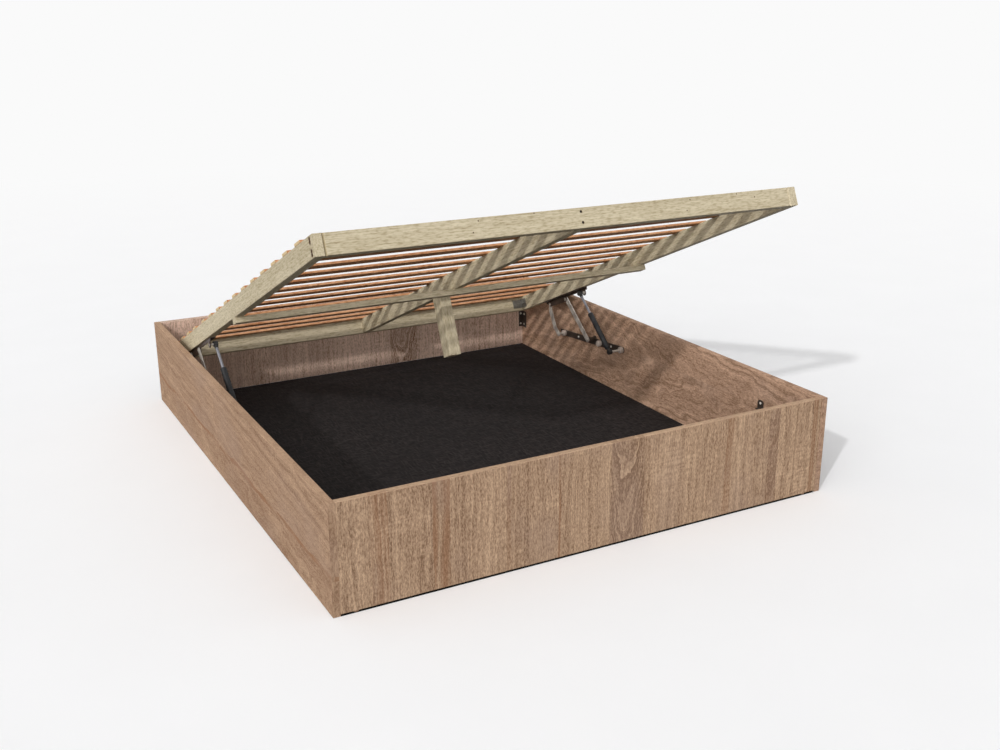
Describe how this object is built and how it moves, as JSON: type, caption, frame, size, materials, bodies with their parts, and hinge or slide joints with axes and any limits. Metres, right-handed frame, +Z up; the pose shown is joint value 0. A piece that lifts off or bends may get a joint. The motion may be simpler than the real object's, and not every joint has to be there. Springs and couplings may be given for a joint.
{
  "type": "storage bed",
  "caption": "Low wood-grain panel bed with a slatted platform on links and gas struts that lifts at the foot end over a storage space.",
  "frame": {"origin": "on the ground, under the middle of the case", "axes": "+X across the bed to the right seen from the foot, +Y from the foot to the head, +Z up"},
  "size_m": [1.71, 1.97, 0.9898],
  "materials": {
    "oak_laminate": "oak-grained melamine, satin",
    "black_board": "near-black hardboard, matt",
    "dark_plastic": "matt",
    "zinc_steel": "zinc-plated, satin",
    "dark_steel": "dark coating, satin",
    "pale_plastic": "matt",
    "frame_wood": "planed softwood, unfinished",
    "slat_wood": "beech, satin",
    "black_paint": "black paint, semi-gloss",
    "rod_steel": "ground steel"
  },
  "bodies": {
    "case": {"side_panel_left": "oak_laminate", "side_panel_right": "oak_laminate", "foot_panel": "oak_laminate", "head_panel": "oak_laminate", "floor_board": "black_board", "panel_glides": "dark_plastic", "case_corner_brackets": "zinc_steel", "case_screws": "zinc_steel", "stop_brackets": "dark_steel", "base_plate_left": "dark_steel", "base_plate_right": "dark_steel", "pivot_bushings": "pale_plastic", "base_bumpers": "pale_plastic", "rear_pivot_studs": "zinc_steel", "front_pivot_studs": "zinc_steel", "front_pivot_spacers": "dark_steel", "strut_pivot_studs": "zinc_steel"},
    "platform": {"side_rail_left": "frame_wood", "side_rail_right": "frame_wood", "foot_rail": "frame_wood", "head_rail": "frame_wood", "centre_rail": "frame_wood", "cross_bar": "frame_wood", "support_leg": "frame_wood", "slat_row_01": "slat_wood", "slat_row_02": "slat_wood", "slat_row_03": "slat_wood", "slat_row_04": "slat_wood", "slat_row_05": "slat_wood", "slat_row_06": "slat_wood", "slat_row_07": "slat_wood", "slat_row_08": "slat_wood", "slat_row_09": "slat_wood", "slat_row_10": "slat_wood", "slat_row_11": "slat_wood", "slat_row_12": "slat_wood", "slat_row_13": "slat_wood", "slat_row_14": "slat_wood", "slat_row_15": "slat_wood", "frame_corner_brackets": "zinc_steel", "frame_joint_screws": "zinc_steel", "platform_bracket_screws": "zinc_steel", "upper_bracket_left": "dark_steel", "upper_bracket_right": "dark_steel", "front_link_pins": "zinc_steel", "rear_flange_rivets": "zinc_steel", "strut_top_studs": "zinc_steel"},
    "front_link_pair": {"front_link_left": "zinc_steel", "front_link_right": "zinc_steel"},
    "rear_link_pair": {"rear_link_left": "dark_steel", "rear_link_right": "dark_steel", "rear_link_rivets": "zinc_steel"},
    "strut_cylinder_pair": {"strut_cylinders": "black_paint", "strut_lower_sockets": "dark_steel"},
    "strut_rod_pair": {"strut_rods": "rod_steel", "strut_upper_sockets": "dark_steel"}
  },
  "joints": [
    {"name": "front_link_hinge", "type": "hinge", "parent": "case", "child": "front_link_pair", "pos_m": [0, 0.3423, 0.1879], "axis": [1, 0, 0], "range_deg": [-33.35, 0]},
    {"name": "platform_lift", "type": "hinge", "parent": "front_link_pair", "child": "platform", "pos_m": [0, 0.51746, 0.32623], "axis": [1, 0, 0], "range_deg": [0, 56.79]},
    {"name": "rear_link_hinge", "type": "hinge", "parent": "case", "child": "rear_link_pair", "pos_m": [0, 0.5749, 0.1548], "axis": [1, 0, 0], "range_deg": [-36.19, 0]},
    {"name": "strut_hinge", "type": "hinge", "parent": "case", "child": "strut_cylinder_pair", "pos_m": [0, 0.1378, 0.192], "axis": [1, 0, 0], "range_deg": [-37.49, 0]},
    {"name": "strut_slide", "type": "slide", "parent": "strut_cylinder_pair", "child": "strut_rod_pair", "axis": [0, 0.766, 0.6428], "range_m": [-0.03537, 0]}
  ],
  "couplings": [
    {"joint": "front_link_hinge", "follows": "platform_lift", "ratio": -0.58637},
    {"joint": "rear_link_hinge", "follows": "platform_lift", "ratio": -0.63645},
    {"joint": "strut_hinge", "follows": "platform_lift", "ratio": -0.65927},
    {"joint": "strut_slide", "follows": "platform_lift", "m_per_rad": -0.035583}
  ]
}
